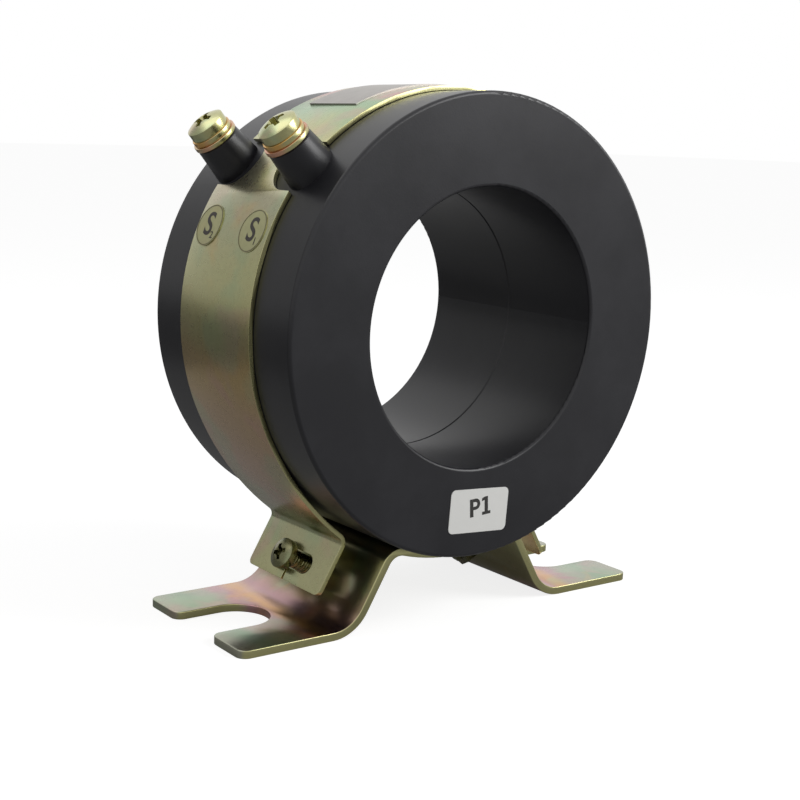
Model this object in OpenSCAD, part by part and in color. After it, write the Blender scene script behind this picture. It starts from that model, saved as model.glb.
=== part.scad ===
// Window-type low-voltage current transformer on a bent foot.
// Two moulded half shells close round a toroidal wound core. A plated
// clamp band goes over the ring and its ears are drawn towards the legs
// of the foot bracket by two screws. Each half shell carries one leaning
// terminal post with a moulded-in brass insert, a screw and two washers.
// The window's axis is Y, the front (P1) face looks towards -Y, and the
// origin is the centre of the window.

/* [Housing] */
// Diameter of the window
window_d = 60; // [54:0.5:72]
// Radial width of the ring, from the window to its outer wall
ring_w = 19.5; // [19.2:0.1:23]
// Depth of the ring, front face to rear face
housing_depth = 55; // [52:0.5:70]
// Thickness of the outer and window walls
wall = 2.5; // [1.8:0.1:3]
// Thickness of the front and rear faces
face_wall = 3; // [2:0.1:4]
// Radius of the outer edge of each face
rim_r = 0.8; // [0.5:0.1:1.7]
// Radius of the window's edge
window_edge_r = 0.7; // [0.3:0.1:1.5]
// Height of the lip that the front half plugs into the rear half with
lip_h = 2; // [1:0.1:3]
// Width of the small bevel on both sides of the seam
seam_bevel = 0.3; // [0.1:0.05:0.5]
// Locating ribs in each half shell
rib_count = 8; // [6:1:10]
// Thickness of a locating rib
rib_t = 1.8; // [1.2:0.1:3]

/* [Wound core] */
// Radial build of the tape-wound core
core_build = 6; // [4:0.1:6.5]
// Width of the core along the window axis
core_w = 34; // [26:0.5:35]
// Thickness of the insulation round the core
core_insulation_t = 0.8; // [0.4:0.1:1]
// Diameter of the secondary wire
wire_d = 1.5; // [1:0.1:1.7]
// Turns of the secondary winding
turns = 54; // [30:1:60]
// Thickness of the varnish that joins the turns
varnish_t = 0.4; // [0.2:0.1:0.6]
// Thickness of the tape over the winding
wrap_t = 0.6; // [0.3:0.1:0.8]
// Gap between the window wall and the wrapped winding
core_gap = 1; // [0.5:0.1:1.5]

/* [Terminals] */
// Diameter of a terminal post at its top
post_d = 9.6; // [9:0.1:11]
// Height of a post above the ring, along its axis
post_h = 7.5; // [5:0.1:10]
// Distance of each post axis from the seam plane
post_y = 14.3; // [13:0.1:15]
// Direction of the post axes, from +X towards +Z
post_angle = 131.2; // [120:0.1:140]
// Draft of a post's flanks
post_draft = 5.4; // [1:0.1:6]
// Lean of a post's body behind its screw, towards the ring's top
post_lean = 4.2; // [0:0.1:6]
// Bevel round the top of a post
post_bevel = 0.4; // [0.2:0.1:0.8]
// Distance from the window axis to the line of a post axis
post_offset = 6.7; // [0:0.1:8]
// Outer diameter of the brass insert
insert_d = 7; // [6.4:0.1:7.6]
// Length of the brass insert
insert_l = 10; // [9.4:0.1:10.4]
// Thickness of the insert's closed end
insert_floor = 1.2; // [1:0.1:1.5]
// Depth of the groove that holds the insert in the moulding
insert_groove = 0.5; // [0.3:0.1:0.6]
// Nominal diameter of the terminal screw
screw_d = 5; // [4:0.5:5.5]
// Diameter of the terminal screw's head
head_d = 8.6; // [8:0.1:9.2]
// Height of the terminal screw's head
head_h = 3.2; // [2.6:0.1:4]
// Width of the cross recess in the terminal screw's head
screw_recess_w = 1.2; // [0.8:0.1:1.6]
// Length of the terminal screw under its head
screw_l = 10; // [7:0.5:10.5]
// Outer diameter of the flat washer
flat_washer_d = 10; // [9:0.1:11]
// Thickness of the flat washer
flat_washer_t = 1; // [0.6:0.1:1.4]
// Outer diameter of the spring washer
spring_washer_d = 9.2; // [8.6:0.1:10]
// Thickness of the spring washer
spring_washer_t = 1.2; // [0.8:0.1:1.6]
// Width of the spring washer's gap
spring_washer_gap = 0.5; // [0.3:0.1:1]

/* [Clamp band] */
// Thickness of the band
band_t = 1; // [0.8:0.1:1.4]
// Width of the band
band_w = 28.4; // [27:0.1:30]
// Angle below the ring's widest point down to which the band lies on the ring
band_hold = 25; // [15:1:30]
// How much more than the ring's radius the band's ends curve with
band_end_spread = 15.4; // [12:0.2:25]
// Sweep of those ends
band_end_sweep = 26.5; // [24:0.5:28]
// Radius inside the bend between band and ear
ear_bend_r = 1.6; // [1:0.1:2.5]
// Length of an ear below its bend
ear_l = 11.6; // [10:0.1:13]
// Radius of an ear's corners
ear_corner_r = 1.4; // [0.5:0.1:2]
// Distance from an ear's end to the middle of its slot
ear_slot_edge = 5.2; // [4:0.1:6]
// Width of the slot in an ear
ear_slot_w = 4.6; // [4.4:0.1:5.6]
// Length of the slot in an ear
ear_slot_l = 15.5; // [12:0.5:18]
// Width of the slit from the slot to the end of the ear
ear_slit_w = 0.7; // [0.5:0.1:1.2]
// Width of the round-ended notch that clears a terminal post
notch_w = 13; // [12.6:0.1:14]
// Width of the band's neck between the two notches
neck_w = 9.2; // [8:0.1:13]

/* [Foot bracket] */
// Thickness of the bracket's sheet
foot_t = 1.8; // [1.4:0.1:2.5]
// Width of the bracket
foot_w = 40.5; // [36:0.5:46]
// Overall length of the bracket
foot_l = 109.5; // [104:0.5:124]
// Height of the ring's lowest point above the base
ring_lift = 16; // [13:0.5:25]
// Half angle of the saddle that hugs the ring
saddle_half = 16; // [12:0.5:18]
// Slope of the legs
leg_slope = 60; // [56:0.5:63]
// Radius inside the bend at the top of a leg
top_bend_r = 3.2; // [2:0.1:5]
// Radius inside the bend at the bottom of a leg
bottom_bend_r = 8.2; // [5:0.1:9]
// Width of the open slot in each foot
foot_slot_w = 15; // [11:0.5:18]
// Depth of the open slot in each foot
foot_slot_l = 18.25; // [14:0.25:18.5]
// Radius of the corners of the feet
foot_corner_r = 2.4; // [1:0.1:3]

/* [Clamp screws] */
// Nominal diameter of a clamp screw
clamp_d = 4; // [3:0.5:4]
// Diameter of a clamp screw's head
clamp_head_d = 7; // [6.4:0.1:7.6]
// Height of a clamp screw's head
clamp_head_h = 2.6; // [2:0.1:3.4]
// Width of the cross recess in a clamp screw's head
clamp_recess_w = 1; // [0.7:0.1:1.3]
// Distance of a clamp screw from the seam plane
clamp_y = 2; // [-4:0.5:4]
// Width across the flats of a clamp nut
nut_af = 7; // [6.5:0.1:8]
// Thickness of a clamp nut
nut_t = 3.2; // [2.4:0.1:4]
// Screw thread that shows past the nut
clamp_tail = 1.2; // [0.5:0.1:2]

/* [Plates and labels] */
// Thickness of the blank rating plate
plate_t = 0.3; // [0.2:0.05:0.5]
// Width of the rating plate
plate_w = 17.5; // [14:0.5:22]
// Angle round the ring that the rating plate covers
plate_sweep = 50; // [40:1:60]
// Bare strip between the rating plate and the band's rear edge
plate_margin = 4.3; // [0.4:0.1:6]
// Width of the front label
label_w = 16; // [12:0.1:16.5]
// Height of the front label
label_h = 9.6; // [8:0.1:11]
// Radius of the front label's corners
label_r = 1.2; // [0.5:0.1:2]
// Tilt of the front label
label_tilt = -3.5; // [-6:0.5:6]
// Distance from the window's edge down to the front label's centre
label_inset = 9.3; // [8:0.1:11]
// Thickness of the paper labels
label_t = 0.15; // [0.1:0.05:0.3]
// Diameter of the round terminal labels
dot_d = 9.4; // [8:0.1:11]
// Direction of the round labels from the window's axis
dot_angle = 156.5; // [154:0.5:162]
// Distance of the S1 label from the seam plane
dot_y_front = 8.2; // [7:0.1:8.8]
// Distance of the S2 label from the seam plane
dot_y_rear = 9.2; // [7:0.1:9.3]

/* [Fits] */
// Clearance between plugged, wrapped or threaded pieces
fit = 0.1; // [0.05:0.01:0.15]
// Clearance of a screw in a plain hole
hole_play = 0.4; // [0.2:0.05:0.6]

/* [Hidden] */
$fn = 96;
eps = 0.01;
lap = 0.02;
far = 200;

window_r = window_d / 2;
housing_r = window_r + ring_w;
half_depth = housing_depth / 2;

// the wound core is built outwards from the window wall
wrap_ri = window_r + wall + core_gap;
winding_ri = wrap_ri + wrap_t + fit;
insulation_ri = winding_ri + wire_d + fit;
core_ri = insulation_ri + core_insulation_t + fit;
core_ro = core_ri + core_build;
insulation_ro = core_ro + fit + core_insulation_t;
winding_ro = insulation_ro + fit + wire_d;
wrap_ro = winding_ro + fit + wrap_t;
core_hw = core_w / 2;
insulation_hw = core_hw + fit + core_insulation_t;
winding_hw = insulation_hw + fit + wire_d;
wrap_hw = winding_hw + fit + wrap_t;

// the posts' own axis: s is measured along it from the foot of the
// perpendicular that the window axis drops onto it
post_foot_s = sqrt(housing_r * housing_r - post_offset * post_offset);
post_top_s = post_foot_s + post_h;
post_ring_angle = post_angle + atan2(post_offset, post_foot_s);
post_foot_shift = post_h * tan(post_lean);
insert_bottom_s = post_top_s - insert_l;
insert_hole_d = screw_d + fit;
washer_hole_d = screw_d + hole_play;
lead_cup = insert_floor * 0.6;
stack_s = post_top_s + flat_washer_t + spring_washer_t;

// band: it leaves the ring at band_a1, bends into the ear at band_a2
band_ri = housing_r + fit;
band_ro = band_ri + band_t;
band_end_r = band_ri + band_end_spread;
band_a1 = 180 + band_hold;
band_a2 = band_a1 + band_end_sweep;
ear_normal = 90 + leg_slope;
ear_heading = 180 + leg_slope;
band_end_centre = polar(band_ri - band_end_r, band_a1);
ear_pivot = band_end_centre + polar(band_end_r + band_t + ear_bend_r, band_a2);
ear_root = ear_pivot + polar(band_t + ear_bend_r, ear_normal + 180);

// bracket, followed from under the ring outwards
axis_h = housing_r + ring_lift;
saddle_r = housing_r + fit;
saddle_a = 270 + saddle_half;
leg_normal = 90 - leg_slope;
leg_heading = -leg_slope;
top_pivot = polar(saddle_r + foot_t + top_bend_r, saddle_a);
leg_root = top_pivot + polar(top_bend_r, leg_normal);
leg_drop = leg_root[1] + axis_h - (bottom_bend_r + foot_t) * (1 - cos(leg_slope));
leg_l = leg_drop / sin(leg_slope);
leg_end = leg_root + polar(leg_l, leg_heading);
bottom_pivot = leg_end + polar(foot_t + bottom_bend_r, leg_normal);
foot_tip = foot_l / 2;
foot_slot_r = foot_slot_w / 2;

// clamp screws stand square on ear and leg, ear_to_leg apart
ear_screw_at = ear_l - ear_slot_edge;
ear_face = ear_root + polar(band_t, ear_normal) + polar(ear_screw_at, ear_heading);
leg_face = mirrored(leg_root + polar(foot_t, leg_normal));
ear_to_leg = along(ear_face - leg_face, ear_normal) - band_t;
nut_from_face = band_t + ear_to_leg + foot_t;
clamp_l = nut_from_face + nut_t + clamp_tail;

function polar(r, a) = [r * cos(a), r * sin(a)];
function mirrored(p) = [-p[0], p[1]];
function along(p, a) = p[0] * cos(a) + p[1] * sin(a);

// ---- helpers ----

// part of a ring round a centre, from angle a0 to a1 (less than 180 apart),
// with a lap at each end that joins it to the next run of sheet
module sector(centre, r1, r2, a0, a1) {
    lap_a = lap / r2 * 180 / PI;
    reach = 2 * r2 / cos((a1 - a0) / 2);
    translate(centre)
        intersection() {
            difference() {
                circle(r2);
                circle(r1);
            }
            polygon([[0, 0], polar(reach, a0 - lap_a), polar(reach, (a0 + a1) / 2),
                     polar(reach, a1 + lap_a)]);
        }
}

// straight run of sheet from a point, with its thickness on one side
module run(start, heading, length, t, side) {
    translate(start)
        rotate(heading)
            translate([0, side < 0 ? -t : 0])
                square([length, t]);
}

// extrudes a profile drawn in X and Z by a width along Y, centred
module across(width) {
    rotate([90, 0, 0])
        linear_extrude(width, center = true)
            children();
}

// the sharp corner that a round edge takes away, at a corner of a profile
module round_off(corner, r, toward) {
    translate(corner)
        scale_sign(toward)
            translate([-eps, -eps])
                difference() {
                    square(r + eps);
                    translate([r + eps, r + eps])
                        circle(r);
                }
}

// mirrors children into the quadrant that toward points to
module scale_sign(toward) {
    mirror([toward[0] < 0 ? 1 : 0, 0])
        mirror([0, toward[1] < 0 ? 1 : 0])
            children();
}

// flat ring with its axis along Z, standing on z = 0
module washer(outer_d, hole_d, t) {
    difference() {
        cylinder(d = outer_d, h = t);
        translate([0, 0, -eps])
            cylinder(d = hole_d, h = t + 2 * eps);
    }
}

// rectangle with round corners, centred
module rounded_rect(size, r) {
    difference() {
        square(size, center = true);
        for (sx = [-1, 1], sy = [-1, 1])
            round_off([sx * size[0] / 2, sy * size[1] / 2], r, [-sx, -sy]);
    }
}

// hollow ring of rectangular section round Z, from its four sizes and a skin
module jacket(ri, ro, hw, skin) {
    rotate_extrude()
        difference() {
            translate([ri, -hw])
                square([ro - ri, 2 * hw]);
            translate([ri + skin, -hw + skin])
                square([ro - ri - 2 * skin, 2 * (hw - skin)]);
        }
}

// ---- placing ----

// Z along the window's axis towards the front
module along_window() {
    rotate([90, 0, 0])
        children();
}

// Z along a terminal post, z = 0 at the foot of its perpendicular
module on_post(side) {
    rotate([0, 90 - post_angle, 0])
        translate([-post_offset, side * post_y, 0])
            children();
}

// Z out of the ear's outer face at its clamp screw, X down the ear
module on_ear(side) {
    mirror([side > 0 ? 1 : 0, 0, 0])
        translate([ear_face[0], 0, ear_face[1]])
            rotate([0, -leg_slope, 0])
                rotate([0, 0, 180])
                    children();
}

// ---- housing ----

// section of a half shell: X is the radius, Y runs from the seam to the face
module shell_section(lip) {
    mid_out = housing_r - wall / 2;
    mid_in = window_r + wall / 2;
    difference() {
        translate([window_r, 0])
            square([housing_r - window_r, half_depth]);
        translate([window_r + wall, -eps])
            square([housing_r - window_r - 2 * wall, half_depth - face_wall + eps]);
        round_off([housing_r, half_depth], rim_r, [-1, -1]);
        round_off([window_r, half_depth], window_edge_r, [1, -1]);
        // seam bevels
        polygon([[housing_r - seam_bevel, 0], [housing_r, seam_bevel],
                 [housing_r + 1, seam_bevel], [housing_r + 1, -1], [housing_r - seam_bevel, -1]]);
        polygon([[window_r + seam_bevel, 0], [window_r, seam_bevel],
                 [window_r - 1, seam_bevel], [window_r - 1, -1], [window_r + seam_bevel, -1]]);
        // rebates that take the other half's lip
        if (!lip) {
            translate([housing_r - wall - 1, -eps])
                square([wall / 2 + 1, lip_h + fit + eps]);
            translate([mid_in, -eps])
                square([wall / 2 + 1, lip_h + fit + eps]);
        }
    }
    if (lip) {
        translate([housing_r - wall, -lip_h])
            square([wall / 2 - fit, lip_h]);
        translate([mid_in + fit, -lip_h])
            square([wall / 2 - fit, lip_h]);
    }
}

// ribs that hold the wrapped winding between the walls and off the face
module shell_ribs() {
    grip = wrap_hw / 2;
    bite = wall / 2;
    for (i = [0 : rib_count - 1])
        rotate(post_ring_angle + (i + 0.5) * 360 / rib_count)
            rotate([90, 0, 0])
                linear_extrude(rib_t, center = true)
                    difference() {
                        translate([window_r + bite, grip])
                            square([housing_r - window_r - 2 * bite, half_depth - bite - grip]);
                        translate([wrap_ri - fit, -eps])
                            square([wrap_ro - wrap_ri + 2 * fit, wrap_hw + eps]);
                    }
}

// outline of a brass insert, used for the insert and for its seat
module insert_outline() {
    ring_z = insert_l * 0.4;
    ring_l = insert_l * 0.2;
    difference() {
        translate([0, 0, insert_bottom_s])
            cylinder(d = insert_d, h = insert_l);
        translate([0, 0, insert_bottom_s + ring_z])
            washer(insert_d + 2, insert_d - 2 * insert_groove, ring_l);
    }
}

// one half of the housing, with its terminal post on the given side
module half_shell(side, lip) {
    difference() {
        union() {
            mirror([0, side > 0 ? 1 : 0, 0])
                along_window() {
                    rotate_extrude()
                        shell_section(lip);
                    shell_ribs();
                }
            on_post(side)
                post();
        }
        on_post(side)
            insert_outline();
    }
}

// drafted terminal post with a flat, bevelled top, down to the insert's end
module post() {
    over = post_bevel * 2;
    flare = 2 * tan(post_draft);
    top_d = post_d - 2 * post_bevel;
    intersection() {
        translate([0, 0, post_top_s])
            rotate([0, -post_lean, 0])
                translate([0, 0, -insert_l])
                    cylinder(d1 = post_d + flare * insert_l, d2 = post_d - flare * over,
                             h = insert_l + over);
        translate([0, 0, post_top_s - 2 * insert_l])
            cylinder(d1 = top_d + 4 * insert_l, d2 = top_d, h = 2 * insert_l);
    }
}

module front_shell() {
    color("#38383c")
        half_shell(-1, true);
}

module rear_shell() {
    color("#303034")
        half_shell(1, false);
}

// ---- wound core ----

module core() {
    color("#8d9196")
        along_window()
            rotate_extrude()
                translate([core_ri, -core_hw])
                    square([core_build, core_w]);
}

module core_insulation() {
    color("#d8c9a0")
        along_window()
            jacket(insulation_ri, insulation_ro, insulation_hw, core_insulation_t);
}

// the wire's turns stand on a thin layer of varnish that joins them
module secondary_winding() {
    sink = varnish_t / 4;
    turn_w = wire_d * 0.9;
    color("#a8642c")
        along_window() {
            jacket(insulation_ri - fit - varnish_t, insulation_ro + fit + varnish_t,
                   insulation_hw + fit + varnish_t, varnish_t);
            for (i = [0 : turns - 1])
                rotate(i * 360 / turns)
                    rotate([90, 0, 0])
                        linear_extrude(turn_w, center = true)
                            difference() {
                                translate([winding_ri, -winding_hw])
                                    square([winding_ro - winding_ri, 2 * winding_hw]);
                                translate([insulation_ri - fit - sink, -insulation_hw - fit - sink])
                                    square([insulation_ro - insulation_ri + 2 * (fit + sink),
                                            2 * (insulation_hw + fit + sink)]);
                            }
        }
}

// tape over the winding, with a hole for each lead
module winding_wrap() {
    color("#e8e2cc")
        difference() {
            along_window()
                jacket(wrap_ri, wrap_ro, wrap_hw, wrap_t);
            for (side = [-1, 1])
                on_post(side)
                    translate([0, 0, core_ro])
                        cylinder(d = wire_d + 4 * fit, h = core_ro);
        }
}

// wire from the winding up into the cup under an insert
module lead(side) {
    difference() {
        on_post(side)
            cylinder(d = wire_d, h = insert_bottom_s + lead_cup - fit);
        along_window()
            cylinder(r = winding_ro, h = far, center = true);
    }
}

module start_lead() {
    color("#b5702f")
        lead(-1);
}

module finish_lead() {
    color("#b5702f")
        lead(1);
}

// ---- terminals ----

module insert() {
    difference() {
        insert_outline();
        translate([0, 0, insert_bottom_s + insert_floor])
            cylinder(d = insert_hole_d, h = insert_l);
        translate([0, 0, insert_bottom_s - eps])
            cylinder(d = wire_d + fit, h = lead_cup + eps);
    }
}

module insert_s1() {
    color("#b99a4a")
        on_post(-1)
            insert();
}

module insert_s2() {
    color("#b99a4a")
        on_post(1)
            insert();
}

// domed head standing on z = 0, with a cross recess round a tapered pit
module screw_head(d, h, recess_w) {
    dome_r = d;
    recess_l = d * 0.54;
    recess_h = h * 0.6;
    pit_d = recess_l * 0.62;
    difference() {
        rotate_extrude()
            intersection() {
                square([d / 2, h]);
                translate([0, h - dome_r])
                    circle(dome_r);
            }
        for (a = [0, 90])
            rotate(a)
                translate([-recess_l / 2, -recess_w / 2, h - recess_h])
                    cube([recess_l, recess_w, h]);
        translate([0, 0, h - recess_h])
            cylinder(d1 = recess_w, d2 = pit_d, h = recess_h + eps);
    }
}

// screw with its head on z = 0 and its shank below, bevelled at the end
module screw(d, l, head_d, head_h, recess_w) {
    bevel = d * 0.12;
    screw_head(head_d, head_h, recess_w);
    translate([0, 0, bevel - l])
        cylinder(d = d, h = l - bevel + eps);
    translate([0, 0, -l])
        cylinder(d1 = d - 2 * bevel, d2 = d, h = bevel);
}

module terminal_screw(side) {
    on_post(side)
        translate([0, 0, stack_s])
            rotate(20 * side)
                screw(screw_d, screw_l, head_d, head_h, screw_recess_w);
}

module terminal_screw_s1() {
    color("#b9a760")
        terminal_screw(-1);
}

module terminal_screw_s2() {
    color("#b9a760")
        terminal_screw(1);
}

// flattened split washer, its gap cut on a slant
module spring_washer(side) {
    on_post(side)
        translate([0, 0, post_top_s + flat_washer_t])
            difference() {
                washer(spring_washer_d, washer_hole_d, spring_washer_t);
                rotate(150)
                    translate([spring_washer_d / 2, 0, spring_washer_t / 2])
                        rotate([25, 0, 0])
                            cube([spring_washer_d, spring_washer_gap, 4 * spring_washer_t],
                                 center = true);
            }
}

module spring_washer_s1() {
    color("#c79a5a")
        spring_washer(-1);
}

module spring_washer_s2() {
    color("#c79a5a")
        spring_washer(1);
}

module flat_washer(side) {
    on_post(side)
        translate([0, 0, post_top_s])
            washer(flat_washer_d, washer_hole_d, flat_washer_t);
}

module flat_washer_s1() {
    color("#c98a6a")
        flat_washer(-1);
}

module flat_washer_s2() {
    color("#c98a6a")
        flat_washer(1);
}

// ---- clamp band ----

// the band's end and ear on the left, in X and Z
module band_end() {
    sector(band_end_centre, band_end_r, band_end_r + band_t, band_a1, band_a2);
    sector(ear_pivot, ear_bend_r, ear_bend_r + band_t, ear_normal - 180, band_a2 - 180);
    run(ear_root, ear_heading, ear_l, band_t, -1);
}

module band_profile() {
    difference() {
        circle(band_ro);
        circle(band_ri);
        polygon([[0, 0], polar(far, band_a1), [0, -2 * far], mirrored(polar(far, band_a1))]);
    }
    band_end();
    mirror([1, 0])
        band_end();
}

// slot, slit and round corners of one ear, cut square to it
module ear_cuts() {
    slot_end = (ear_slot_l - ear_slot_w) / 2;
    translate([0, 0, -2 * band_t])
        linear_extrude(3 * band_t) {
            for (y = [-slot_end, slot_end])
                translate([0, y])
                    circle(d = ear_slot_w);
            square([ear_slot_w, 2 * slot_end], center = true);
            translate([0, -ear_slit_w / 2])
                square([2 * ear_slot_edge, ear_slit_w]);
            for (side = [-1, 1])
                round_off([ear_slot_edge, side * band_w / 2], ear_corner_r, [-1, -side]);
        }
}

// round-ended notch in the band's edge, round the foot of a terminal post
module terminal_notch(side) {
    rotate([0, 90 - post_ring_angle, 0])
        translate([post_foot_shift, side * (neck_w + notch_w) / 2, housing_r / 2])
            linear_extrude(housing_r) {
                circle(d = notch_w);
                translate([-notch_w / 2, side < 0 ? -band_w : 0])
                    square([notch_w, band_w]);
            }
}

module clamp_band() {
    color("#a8a070")
        difference() {
            across(band_w)
                band_profile();
            for (side = [-1, 1]) {
                terminal_notch(side);
                on_ear(side)
                    ear_cuts();
            }
        }
}

// ---- foot bracket ----

// leg and foot on the right, in X and Z
module leg_profile() {
    sector(top_pivot, top_bend_r, top_bend_r + foot_t, leg_normal, saddle_a - 180);
    run(leg_root, leg_heading, leg_l, foot_t, 1);
    sector(bottom_pivot, bottom_bend_r, bottom_bend_r + foot_t, leg_normal + 180, 270);
    translate([bottom_pivot[0], -axis_h])
        square([foot_tip - bottom_pivot[0], foot_t]);
}

module bracket_profile() {
    sector([0, 0], saddle_r, saddle_r + foot_t, 270 - saddle_half, saddle_a);
    leg_profile();
    mirror([1, 0])
        leg_profile();
}

// open slot and round corners of the foot on the right
module foot_cuts() {
    translate([0, 0, -axis_h - foot_t])
        linear_extrude(3 * foot_t) {
            translate([foot_tip - foot_slot_l + foot_slot_r, 0])
                circle(foot_slot_r);
            translate([foot_tip - foot_slot_l + foot_slot_r, -foot_slot_r])
                square([foot_slot_l, foot_slot_w]);
            for (side = [-1, 1]) {
                round_off([foot_tip, side * foot_w / 2], foot_corner_r, [-1, -side]);
                round_off([foot_tip, side * foot_slot_r], foot_corner_r, [-1, side]);
            }
        }
}

module foot_bracket() {
    color("#a39c72")
        difference() {
            across(foot_w)
                bracket_profile();
            for (side = [-1, 1]) {
                mirror([side < 0 ? 1 : 0, 0, 0])
                    foot_cuts();
                on_clamp(side)
                    translate([0, 0, -nut_from_face - foot_t])
                        cylinder(d = clamp_d + hole_play, h = 3 * foot_t);
            }
        }
}

// ---- clamp screws ----

// Z out of the ear along a clamp screw, z = 0 under its head
module on_clamp(side) {
    translate([0, clamp_y, 0])
        on_ear(side)
            children();
}

module clamp_screw(side) {
    on_clamp(side)
        rotate(25)
            screw(clamp_d, clamp_l, clamp_head_d, clamp_head_h, clamp_recess_w);
}

module clamp_screw_left() {
    color("#a9a68a")
        clamp_screw(-1);
}

module clamp_screw_right() {
    color("#a9a68a")
        clamp_screw(1);
}

// hexagon nut on the inner face of a leg
module clamp_nut(side) {
    on_clamp(side)
        translate([0, 0, -nut_from_face - nut_t])
            difference() {
                cylinder(d = nut_af / cos(30), h = nut_t, $fn = 6);
                translate([0, 0, -eps])
                    cylinder(d = clamp_d + fit, h = nut_t + 2 * eps);
            }
}

module clamp_nut_left() {
    color("#a9a68a")
        clamp_nut(-1);
}

module clamp_nut_right() {
    color("#a9a68a")
        clamp_nut(1);
}

// ---- plates and labels ----

// blank plate over the top of the band, near its rear edge
module rating_plate() {
    color("#b9b7b0")
        translate([0, (band_w - plate_w) / 2 - plate_margin, 0])
            across(plate_w)
                sector([0, 0], band_ro, band_ro + plate_t, 90 - plate_sweep / 2, 90 + plate_sweep / 2);
}

module label_p1() {
    color("#f2f2f0")
        translate([0, -half_depth, -window_r - label_inset])
            along_window()
                linear_extrude(label_t)
                    rotate(label_tilt)
                        rounded_rect([label_w, label_h], label_r);
}

// round label that follows the band
module dot_label(y) {
    color("#c9c39a")
        intersection() {
            across(band_w)
                sector([0, 0], band_ro, band_ro + label_t, dot_angle - 15, dot_angle + 15);
            rotate([0, 90 - dot_angle, 0])
                translate([0, y, 0])
                    cylinder(d = dot_d, h = 2 * housing_r);
        }
}

module label_s1() {
    dot_label(-dot_y_front);
}

module label_s2() {
    dot_label(dot_y_rear);
}

front_shell();
rear_shell();
core();
core_insulation();
secondary_winding();
winding_wrap();
start_lead();
finish_lead();
insert_s1();
insert_s2();
terminal_screw_s1();
terminal_screw_s2();
spring_washer_s1();
spring_washer_s2();
flat_washer_s1();
flat_washer_s2();
clamp_band();
foot_bracket();
clamp_screw_left();
clamp_screw_right();
clamp_nut_left();
clamp_nut_right();
rating_plate();
label_p1();
label_s1();
label_s2();
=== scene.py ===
"""Window-type current transformer: finishes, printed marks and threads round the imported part.

Lengths are in metres. +Y runs through the window from the front (P1) face to the rear one,
+Z is up, and the origin is the centre of the window.
"""

import math

import bmesh
import bpy
from bpy.props import FloatProperty, FloatVectorProperty, PointerProperty
from mathutils import Matrix, Vector


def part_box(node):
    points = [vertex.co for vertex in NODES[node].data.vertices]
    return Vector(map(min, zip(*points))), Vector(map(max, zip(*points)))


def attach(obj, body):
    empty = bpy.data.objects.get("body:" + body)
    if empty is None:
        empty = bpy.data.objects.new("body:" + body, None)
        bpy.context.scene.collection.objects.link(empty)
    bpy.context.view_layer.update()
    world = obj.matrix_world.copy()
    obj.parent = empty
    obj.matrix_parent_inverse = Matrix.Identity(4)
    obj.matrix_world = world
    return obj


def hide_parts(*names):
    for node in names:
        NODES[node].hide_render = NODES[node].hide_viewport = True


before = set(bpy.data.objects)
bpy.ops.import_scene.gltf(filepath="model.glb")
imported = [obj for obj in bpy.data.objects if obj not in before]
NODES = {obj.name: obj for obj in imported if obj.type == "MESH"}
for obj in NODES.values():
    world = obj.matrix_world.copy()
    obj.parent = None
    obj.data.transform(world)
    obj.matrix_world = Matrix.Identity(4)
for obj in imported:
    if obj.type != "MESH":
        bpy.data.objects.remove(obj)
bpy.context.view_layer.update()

bl_info = {
    "name": "Current transformer",
    "version": (1, 0, 0),
    "blender": (4, 5, 0),
    "location": "View3D > Sidebar > Transformer",
    "description": "Dresses a window-type current transformer and sets up its studio",
    "category": "Object",
}


def low(node):
    """Lowest corner of a node at rest."""
    return Vector(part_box(node)[0])


def high(node):
    """Highest corner of a node at rest."""
    return Vector(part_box(node)[1])


# Height of the floor.
BASE_Z = low("foot_bracket").z


# ---------------------------------------------------------------- settings

class TransformerHousing(bpy.types.PropertyGroup):
    """Moulded black housing."""
    colour: FloatVectorProperty(
        name="Colour", description="Colour of the moulded plastic",
        subtype="COLOR", size=3, default=(0.0125, 0.0125, 0.0155))
    bloom: FloatVectorProperty(
        name="Bloom", description="Colour where the skin of the moulding is paler",
        subtype="COLOR", size=3, default=(0.021, 0.021, 0.025))
    roughness: FloatProperty(
        name="Roughness", description="Roughness of the moulded skin",
        default=0.33, min=0.1, max=1.0)
    grain: FloatProperty(
        name="Grain", description="Size of the spark-eroded grain of the mould",
        default=0.00035, unit="LENGTH")


class TransformerPlating(bpy.types.PropertyGroup):
    """Yellow zinc plate on the band, bracket and screws."""
    olive: FloatVectorProperty(
        name="Olive", description="Main colour of the plate",
        subtype="COLOR", size=3, default=(0.49, 0.48, 0.26))
    green: FloatVectorProperty(
        name="Green", description="Greenish film colour",
        subtype="COLOR", size=3, default=(0.33, 0.46, 0.29))
    pink: FloatVectorProperty(
        name="Pink", description="Pinkish film colour",
        subtype="COLOR", size=3, default=(0.54, 0.33, 0.30))
    gold: FloatVectorProperty(
        name="Gold", description="Golden film colour",
        subtype="COLOR", size=3, default=(0.66, 0.38, 0.12))
    edge: FloatVectorProperty(
        name="Edge", description="Colour of the plate on the cut edges",
        subtype="COLOR", size=3, default=(0.50, 0.48, 0.24))
    roughness: FloatProperty(
        name="Roughness", description="Roughness of the plated sheet",
        default=0.27, min=0.05, max=1.0)
    sheet_edge: FloatProperty(
        name="Sheet edge", description="Rounding of the sheared edges of band and bracket",
        default=0.00022, unit="LENGTH")
    small_edge: FloatProperty(
        name="Small edge", description="Rounding of the edges of screws, washers and nuts",
        default=0.00012, unit="LENGTH")
    thread_pitch: FloatProperty(
        name="Thread pitch", description="Pitch of the clamp screws",
        default=0.0007, unit="LENGTH")


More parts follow.
